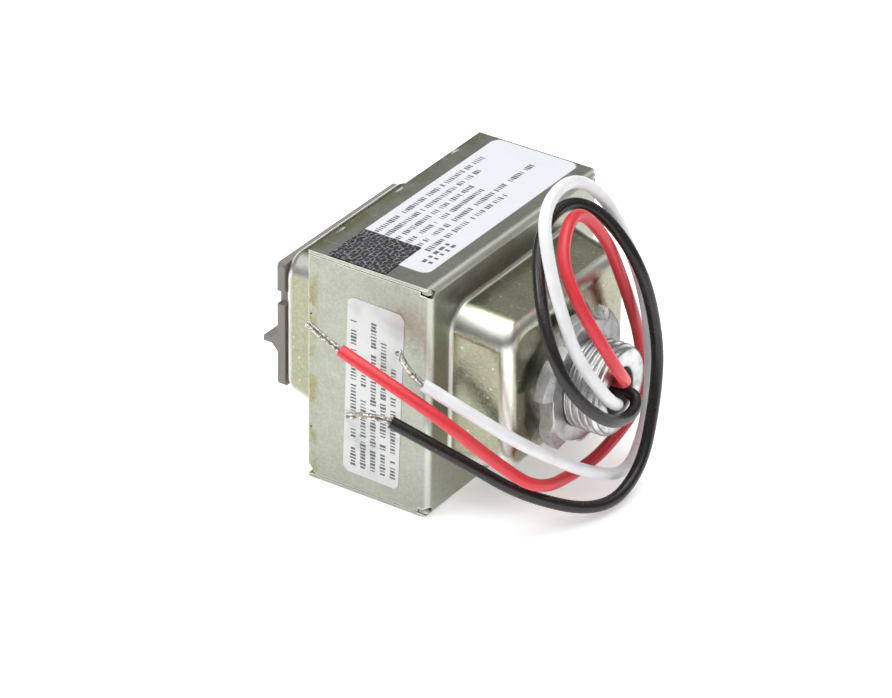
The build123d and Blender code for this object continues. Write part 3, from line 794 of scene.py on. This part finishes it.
def printed_rows_tree():
    """Rows of plain blocks that stand in bars of uneven length, as lines of print seen from afar."""
    tree, given, end = shape_group("printed_rows", {
        "Rows": (COUNT, 6), "Cells": (COUNT, 40), "Row Pitch": (NUMBER, 3.0 * MM),
        "Cell Pitch": (NUMBER, 1.0 * MM), "Bar Height": (NUMBER, 1.3 * MM),
        "Ink Thickness": (NUMBER, 0.02 * MM), "Filled": (NUMBER, 0.84), "Seed": (COUNT, 1),
    })
    seed, cells = given["Seed"], given["Cells"]
    across = times(tree, math(tree, "SUBTRACT", given["Rows"], 1.0), given["Row Pitch"])
    along = times(tree, math(tree, "SUBTRACT", cells, 1.0), given["Cell Pitch"])
    grid = put(tree, "GeometryNodeMeshGrid", {
        "Size X": across, "Size Y": along, "Vertices X": given["Rows"], "Vertices Y": cells,
    })
    cell = put(tree, "GeometryNodeInputIndex").outputs[0]
    row = math(tree, "FLOOR", math(tree, "DIVIDE", cell, cells))
    column = math(tree, "MODULO", cell, cells)
    line_end = draw_number(tree, plus(tree, seed, 3.0), 0.6, 1.0, row)
    in_line = math(tree, "LESS_THAN", column, times(tree, line_end, cells))
    in_word = put(tree, "FunctionNodeRandomValue", {
        "Seed": plus(tree, seed, 7.0), "Probability": given["Filled"],
    }, data_type="BOOLEAN").outputs[3]
    height = draw_number(tree, seed, 0.72, 1.0)
    breadth = draw_number(tree, plus(tree, seed, 11.0), 0.3, 0.8)
    size = put(tree, "ShaderNodeCombineXYZ", {
        0: times(tree, height, given["Bar Height"]), 1: times(tree, given["Cell Pitch"], breadth),
        2: given["Ink Thickness"],
    })
    block = put(tree, "GeometryNodeMeshCube", {"Size": (1.0, 1.0, 1.0)})
    blocks = put(tree, "GeometryNodeInstanceOnPoints", {
        "Points": grid.outputs[0], "Selection": times(tree, in_line, in_word),
        "Instance": block.outputs[0], "Scale": size.outputs[0],
    })
    close_shape_group(tree, given, end, blocks.outputs[0])
    return tree


def plate_stack_tree():
    """Copies of one lamination, side by side along X."""
    tree, given, end = shape_group("plate_stack", {"Count": (COUNT, 40), "Spacing": (NUMBER, 0.5 * MM)})
    step = put(tree, "ShaderNodeCombineXYZ", {0: given["Spacing"]})
    spots = put(tree, "GeometryNodeMeshLine", {"Count": given["Count"], "Offset": step.outputs[0]})
    plates = put(tree, "GeometryNodeInstanceOnPoints", {
        "Points": spots.outputs[0], "Instance": given["Geometry"],
    })
    close_shape_group(tree, given, end, plates.outputs[0])
    return tree


def route_curve(name, points):
    """A smooth open spline with the route's points as its control points."""
    line = bpy.data.curves.new(name, "CURVE")
    line.dimensions = "3D"
    spline = line.splines.new("NURBS")
    spline.points.add(len(points) - 1)
    for point, place in zip(spline.points, points):
        point.co = (*place, 1.0)
    spline.order_u = 3
    spline.use_endpoint_u = True
    spline.resolution_u = 24
    return line


def skin_rings(name, rings):
    """A closed skin over rings of points, with the last ring joined to the first."""
    work = bmesh.new()
    rows = [[work.verts.new(place) for place in ring] for ring in rings]
    for one, two in zip(rows, rows[1:] + rows[:1]):
        for k, corner in enumerate(one):
            n = (k + 1) % len(one)
            work.faces.new((corner, two[k], two[n], one[n]))
    bmesh.ops.recalc_face_normals(work, faces=work.faces)
    mesh = bpy.data.meshes.new(name)
    work.to_mesh(mesh)
    work.free()
    return mesh


def nipple_mesh(hub):
    """The conduit nipple turned about X: bore, end ring, free thread, shank and head."""
    low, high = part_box("conduit_nipple")
    nut_low, nut_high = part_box("hub_locknut")
    head_radius = high.y
    shank = 10.2 * MM
    crest = 10.5 * MM
    root = crest - hub.depth
    bore = 5.5 * MM
    bore_round = 0.6 * MM
    chamfer = 0.9 * MM
    sheet = 0.9 * MM
    run_in = 0.5 * MM
    ridge_top, flank_slope = 1.35, 3.375
    end_edge, ring_edge = 0.12 * MM, 0.35 * MM
    tip = high.x
    head_front = nut_low.x - sheet
    thread_start = nut_high.x
    thread_length = tip - 0.3 * MM - thread_start
    thread_rings = 84
    back = [
        (low.x, bore), (low.x, head_radius), (head_front, head_radius), (head_front, shank),
        (thread_start, shank),
    ]
    mouth = [
        (tip - end_edge, root - end_edge), (tip, root - ring_edge),
        (tip, bore + bore_round), (tip - 0.25 * MM, bore + 0.15 * MM), (tip - bore_round, bore),
    ]

    def thread_radius(x, turn):
        phase = ((x - thread_start) / hub.pitch - turn) % 1.0
        ridge = max(0.0, min(1.0, ridge_top - flank_slope * abs(phase - 0.5)))
        rounded = ridge * ridge * (3 - 2 * ridge)
        fade = min(1.0, max(0.0, (x - thread_start) / run_in))
        limit = root + max(0.0, tip - 0.15 * MM - x) / chamfer * hub.depth
        return min(root + hub.depth * rounded * fade, limit)

    turns = [k / hub.segments for k in range(hub.segments)]
    threaded = [thread_start + thread_length * k / thread_rings for k in range(thread_rings + 1)]
    profile = [(x, [radius] * hub.segments) for x, radius in back]
    profile += [(x, [thread_radius(x, turn) for turn in turns]) for x in threaded]
    profile += [(x, [radius] * hub.segments) for x, radius in mouth]
    mesh = skin_rings("hub_nipple", [
        [(x, radius * cos(turn * tau), radius * sin(turn * tau)) for turn, radius in zip(turns, radii)]
        for x, radii in profile
    ])
    mesh.shade_smooth()
    mesh.set_sharp_from_angle(angle=radians(48))
    return mesh


def nut_mesh():
    """The locknut: a bored ring whose lugs rise late in each sixth of a turn and end in a step."""
    low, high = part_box("hub_locknut")
    bore = 10.25 * MM
    bore_chamfer = 0.3 * MM
    seat = 12.8 * MM
    face = 14.3 * MM
    peak = 16.5 * MM
    bevel, least_bevel_share = 1.2 * MM, 0.12
    face_edge = 0.12 * MM
    rim_back = low.x + 2.0 * MM
    lugs = 6
    first_lug = 55
    # Degrees after the step, and the radius there in millimetres.
    rise = [
        (0.6, 13.8), (8, 13.85), (16, 13.9), (22, 14.0), (25, 14.35), (28, 15.0),
        (31, 15.4), (38, 15.75), (46, 16.1), (53, 16.35), (59.4, 16.5),
    ]
    rings = []
    for lug in range(lugs):
        for turn, millimetres in rise:
            radius = millimetres * MM
            angle = radians(first_lug + 360 / lugs * lug + turn)
            slope = -bevel * max(least_bevel_share, (radius - face) / (peak - face))
            section = [
                (low.x, bore), (low.x, seat), (rim_back, seat), (rim_back, radius), (slope, radius),
                (high.x, min(face, radius - face_edge)), (high.x, bore + bore_chamfer),
                (high.x - bore_chamfer, bore),
            ]
            rings.append([(x, r * cos(angle), r * sin(angle)) for x, r in section])
    return skin_rings("hub_nut", rings)


def close_seams(mesh, distance):
    """Moves the end walls' free edges towards the top and bottom walls."""
    low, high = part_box("front_case")
    edge_inset = 1.35 * MM
    wall = 1.0 * MM
    near = 0.02 * MM
    for vertex in mesh.vertices:
        place = vertex.co
        if low.y + wall < place.y < high.y - wall:
            continue
        if abs(place.z - (high.z - edge_inset)) < near:
            place.z += distance
        elif abs(place.z - (low.z + edge_inset)) < near:
            place.z -= distance


def add_corner_bulges(mesh, flange):
    """The pinched sheet that shows inside the round corner reliefs."""
    low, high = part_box("front_case")
    behind_flange, from_end, from_side = 1.75 * MM, 0.95 * MM, 1.2 * MM
    radius = 0.9 * MM
    long_way = Matrix.Diagonal((1.6, 1.0, 1.0, 1.0))
    work = bmesh.new()
    work.from_mesh(mesh)
    for y in (low.y + from_end, high.y - from_end):
        for z in (low.z + from_side, high.z - from_side):
            spot = Matrix.Translation((flange - behind_flange, y, z)) @ long_way
            made = bmesh.ops.create_uvsphere(work, u_segments=20, v_segments=12, radius=radius, matrix=spot)
            for vertex in made["verts"]:
                for side in vertex.link_faces:
                    side.smooth = True
    work.to_mesh(mesh)
    work.free()


def print_rows(name, slot, tree, sizes, place):
    """A block of printed bars, laid on its label."""
    bars = run_tree(name, bpy.data.meshes.new(name + "_seed"), tree, sizes, finish_named("plain_ink"))
    bars.data.transform(place)
    settle(bars, slot)


def lay_floor(colour, glow):
    """A wide pale floor at the case's underside, lit a little from below."""
    mesh = bpy.data.meshes.new("studio_floor")
    work = bmesh.new()
    bmesh.ops.create_circle(work, cap_ends=True, segments=96, radius=3.0)
    bmesh.ops.translate(work, verts=work.verts, vec=(0, 0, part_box("front_case")[0].z))
    work.to_mesh(mesh)
    work.free()
    tree, shader, place = start_material("studio_floor")
    uneven = soft_patches(tree, place, scale=3.0, low=0.2, high=0.9)
    feed(
        tree, shader, Base_Color=blend_colours(tree, uneven, colour, shaded(colour, 0.985)), Roughness=0.7,
        Emission_Color=(1.0, 1.0, 1.0), Emission_Strength=glow,
    )
    link_piece("studio_floor", mesh, finish_named("studio_floor"))


def add_softbox(name, place, aim, side, power):
    """A square soft light that looks at a point."""
    light = bpy.data.lights.new(name, "AREA")
    light.shape = "SQUARE"
    light.size = side
    light.energy = power
    lamp = bpy.data.objects.new(name, light)
    turn = (Vector(aim) - Vector(place)).to_track_quat("-Z", "Y").to_matrix().to_4x4()
    lamp.matrix_world = Matrix.Translation(place) @ turn
    bpy.context.scene.collection.objects.link(lamp)


def light_room(stage):
    """A room with dim walls and a pale ceiling, a softbox overhead and one at the left."""
    world = bpy.data.worlds.new("studio_room")
    world.use_nodes = True
    tree = world.node_tree
    height = split(tree, put(tree, "ShaderNodeTexCoord").outputs["Generated"])[2]
    glow = ramp(tree, height, 0.5, 0.92, stage.horizon, stage.ceiling)
    background = tree.nodes["Background"]
    fill(tree, background.inputs["Color"], (1.0, 1.0, 1.0))
    fill(tree, background.inputs["Strength"], glow)
    bpy.context.scene.world = world
    middle = (-0.02, 0.0, 0.0)
    add_softbox("softbox_overhead", (-0.05, 0.15, 1.2), middle, 1.0, stage.key_power)
    add_softbox("softbox_left", (-0.6, -0.65, 0.9), middle, 0.5, stage.side_power)
    bpy.context.scene.view_settings.view_transform = "Standard"


def aim_camera(lens):
    """The camera, at the photograph's viewing angle."""
    camera = bpy.data.cameras.new("studio_camera")
    camera.lens = lens
    camera.sensor_width = 36.0
    camera.sensor_fit = "HORIZONTAL"
    camera.clip_end = 20.0
    holder = bpy.data.objects.new("studio_camera", camera)
    right = Vector((0.83312, 0.55288, 0.01511))
    up = Vector((-0.28850, 0.41110, 0.86473))
    back = Vector((0.47188, -0.72479, 0.50200))
    turn = Matrix((right, up, back)).transposed().to_4x4()
    holder.matrix_world = Matrix.Translation((0.43468, -0.72433, 0.49723)) @ turn
    bpy.context.scene.collection.objects.link(holder)
    bpy.context.scene.camera = holder


class TRANSFORMER_OT_finishes(bpy.types.Operator):
    """Makes the shared node groups and every finish"""

    bl_idname = "transformer.finishes"
    bl_label = "Finishes"

    def execute(self, context):
        scene = context.scene
        leads = scene.transformer_leads
        labels = scene.transformer_labels
        for make_group in (make_patch_group, make_grain_group, make_scuff_group, make_wear_group):
            make_group()
        plated_sheet(scene.transformer_sheet)
        zinc_casting(scene.transformer_hub)
        insulation("white_insulation", leads.white, leads.dust, roughness=0.3)
        insulation("black_insulation", leads.black, leads.dust, roughness=0.24)
        insulation("red_insulation", leads.red, leads.dust, roughness=0.3)
        tinned_strands(leads.tin, leads.hollow_shade)
        label_film("white_label", labels.paper, metallic=0.0, roughness=0.4, smudge=0.12)
        label_film("silver_label", labels.film, metallic=0.55, roughness=0.34, smudge=0.6)
        label_film("coil_tape", tone(226, 196, 96), metallic=0.0, roughness=0.22, smudge=0.3)
        dark_sticker(labels)
        plain_ink(labels)
        moulded_plastic("board_plastic", tone(132, 126, 121), roughness=0.5)
        moulded_plastic("bobbin_plastic", tone(226, 220, 206), roughness=0.42)
        plain_metal("terminal_brass", tone(214, 196, 150), roughness=0.28)
        plain_metal("screw_steel", tone(206, 206, 202), roughness=0.3)
        banded_metal("core_steel", tone(120, 122, 126), tone(44, 42, 42), axis=0, pitch=LAMINATION)
        banded_metal("winding_copper", tone(196, 118, 70), tone(86, 40, 22), axis=2, pitch=WIRE_PITCH)
        return {"FINISHED"}


class TRANSFORMER_OT_case(bpy.types.Operator):
    """Dresses the folded front case and the rear bell"""

    bl_idname = "transformer.case"
    bl_label = "Case"

    def execute(self, context):
        finish = context.scene.transformer_sheet
        case = dress_node("case_sheet", "front_case", "plated_sheet")
        close_seams(case.data, finish.seam_close)
        add_corner_bulges(case.data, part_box("front_case")[1].x - finish.dome_depth)
        dress_node("bell_sheet", "rear_bell", "plated_sheet")
        return {"FINISHED"}


class TRANSFORMER_OT_hub(bpy.types.Operator):
    """Makes the threaded nipple and the lugged locknut"""

    bl_idname = "transformer.hub"
    bl_label = "Conduit hub"

    def execute(self, context):
        hub = context.scene.transformer_hub
        zinc = finish_named("zinc_casting")
        nipple = link_piece("hub_nipple", nipple_mesh(hub), zinc)
        settle(nipple, "zinc_casting", "conduit_nipple")
        nut = link_piece("hub_nut", nut_mesh(), zinc)
        round_edges(nut, hub.edge, angle=25.0)
        settle(nut, "zinc_casting", "hub_locknut")
        return {"FINISHED"}


class TRANSFORMER_OT_leads(bpy.types.Operator):
    """Lays the three leads and twists their stripped ends"""

    bl_idname = "transformer.leads"
    bl_label = "Leads"

    def execute(self, context):
        leads = context.scene.transformer_leads
        wires_tree = twisted_wires_tree()
        tucked_in, straight = 1.0 * MM, 3.5 * MM
        for seed, (colour, route) in enumerate(ROUTES.items()):
            name = colour + "_insulated_lead"
            line = route_curve(name, route)
            line.bevel_depth = leads.diameter / 2
            line.bevel_resolution = 8
            line.use_fill_caps = True
            lead = link_piece(name, line, finish_named(colour + "_insulation"))
            settle(lead, colour + "_insulation", colour + "_lead")
            end = Vector(route[-1])
            along = (end - Vector(route[-2])).normalized()
            bare = [end - along * tucked_in, end + along * straight, Vector(STRAND_TIPS[colour])]
            strands = run_tree(
                colour + "_twisted_strands", route_curve(colour + "_bare_route", bare), wires_tree,
                {"Wires": leads.wires, "Wire Radius": leads.wire_radius,
                 "Bundle Radius": leads.bundle_radius, "Turns": leads.turns, "Seed": seed},
                finish_named("tinned_strands"),
            )
            settle(strands, "tinned_strands", colour + "_lead_strands")
        return {"FINISHED"}


class TRANSFORMER_OT_labels(bpy.types.Operator):
    """Dresses the labels and prints plain bars on them"""

    bl_idname = "transformer.labels"
    bl_label = "Labels"

    def execute(self, context):
        ink = {"Ink Thickness": context.scene.transformer_labels.ink_thickness}
        dress_node("top_film", "top_label", "white_label")
        dress_node("side_film", "side_label", "silver_label")
        dress_node("dark_film", "inspection_sticker", "dark_sticker")
        rows_tree = printed_rows_tree()
        low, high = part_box("top_label")
        middle = (low + high) / 2
        print_rows(
            "top_print", "white_label", rows_tree,
            {**ink, "Rows": 6, "Cells": 60, "Row Pitch": 2.75 * MM, "Cell Pitch": 0.8 * MM,
             "Bar Height": 1.5 * MM, "Seed": 4},
            Matrix.Translation((middle.x - 1.6 * MM, middle.y + 2.0 * MM, high.z)),
        )
        print_rows(
            "top_heading", "white_label", rows_tree,
            {**ink, "Rows": 2, "Cells": 5, "Row Pitch": 1.5 * MM, "Cell Pitch": 2.2 * MM,
             "Bar Height": 1.1 * MM, "Filled": 1.0, "Seed": 2},
            Matrix.Translation((high.x - 3.0 * MM, low.y + 9.0 * MM, high.z)),
        )
        low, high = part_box("side_label")
        middle = (low + high) / 2
        print_rows(
            "side_print", "silver_label", rows_tree,
            {**ink, "Rows": 5, "Cells": 50, "Row Pitch": 2.6 * MM, "Cell Pitch": 0.8 * MM,
             "Bar Height": 1.6 * MM, "Seed": 9},
            Matrix.Translation((middle.x, low.y, middle.z)) @ Matrix.Rotation(radians(90), 4, "X"),
        )
        return {"FINISHED"}


class TRANSFORMER_OT_terminals(bpy.types.Operator):
    """Dresses the terminal board, its plates, screws and rivets"""

    bl_idname = "transformer.terminals"
    bl_label = "Terminals"

    def execute(self, context):
        dress_node("rear_board", "terminal_board", "board_plastic")
        for level in ("upper", "lower"):
            dress_node(level + "_wire_plate", level + "_terminal_plate", "terminal_brass")
            dress_node(level + "_binding_screw", level + "_terminal_screw", "screw_steel")
        for side in ("left", "right"):
            dress_node(side + "_rivet", side + "_board_rivet", "screw_steel")
        return {"FINISHED"}


class TRANSFORMER_OT_coil(bpy.types.Operator):
    """Stacks the core's laminations and dresses the bobbin and the windings"""

    bl_idname = "transformer.coil"
    bl_label = "Core and coil"

    def execute(self, context):
        steel_share = 0.94
        stack_tree = plate_stack_tree()
        for name, node in (("e_laminations", "core_e_stack"), ("i_laminations", "core_i_stack")):
            low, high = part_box(node)
            depth = high.x - low.x
            count = round(depth / LAMINATION)
            to_origin = Matrix.Translation((-low.x, 0, 0))
            thinner = Matrix.Scale(steel_share / count, 4, (1, 0, 0))
            plate = NODES[node].data.copy()
            plate.transform(to_origin.inverted() @ thinner @ to_origin)
            sizes = {"Count": count, "Spacing": depth / count}
            stack = run_tree(name, plate, stack_tree, sizes, finish_named("core_steel"))
            settle(stack, "core_steel", node)
        dress_node("coil_bobbin", "bobbin", "bobbin_plastic")
        for coil in ("primary", "secondary"):
            dress_node(coil + "_coil", coil + "_winding", "winding_copper")
            dress_node(coil + "_wrap", coil + "_tape", "coil_tape")
        return {"FINISHED"}


class TRANSFORMER_OT_stage(bpy.types.Operator):
    """Sets up the floor, the lights and the camera"""

    bl_idname = "transformer.stage"
    bl_label = "Stage"

    def execute(self, context):
        stage = context.scene.transformer_stage
        lay_floor(stage.floor, stage.floor_glow)
        light_room(stage)
        aim_camera(stage.lens)
        return {"FINISHED"}


class TRANSFORMER_PT_panel(bpy.types.Panel):
    """Lists the steps that dress the transformer"""

    bl_label = "Control Transformer"
    bl_idname = "TRANSFORMER_PT_panel"
    bl_space_type = "VIEW_3D"
    bl_region_type = "UI"
    bl_category = "Transformer"

    def draw(self, context):
        for operator in OPERATORS:
            self.layout.operator(operator.bl_idname)


SETTINGS = {
    "transformer_sheet": SheetFinish,
    "transformer_hub": HubSizes,
    "transformer_leads": LeadFinish,
    "transformer_labels": LabelPrint,
    "transformer_stage": StageLight,
}
OPERATORS = (
    TRANSFORMER_OT_finishes,
    TRANSFORMER_OT_case,
    TRANSFORMER_OT_hub,
    TRANSFORMER_OT_leads,
    TRANSFORMER_OT_labels,
    TRANSFORMER_OT_terminals,
    TRANSFORMER_OT_coil,
    TRANSFORMER_OT_stage,
)


def register():
    for name, group in SETTINGS.items():
        bpy.utils.register_class(group)
        setattr(bpy.types.Scene, name, bpy.props.PointerProperty(type=group))
    for made in (*OPERATORS, TRANSFORMER_PT_panel):
        bpy.utils.register_class(made)


def unregister():
    for made in (TRANSFORMER_PT_panel, *reversed(OPERATORS)):
        bpy.utils.unregister_class(made)
    for name, group in reversed(SETTINGS.items()):
        delattr(bpy.types.Scene, name)
        bpy.utils.unregister_class(group)


def main():
    register()
    for operator in OPERATORS:
        family, step = operator.bl_idname.split(".")
        getattr(getattr(bpy.ops, family), step)()


if __name__ == "__main__":
    main()
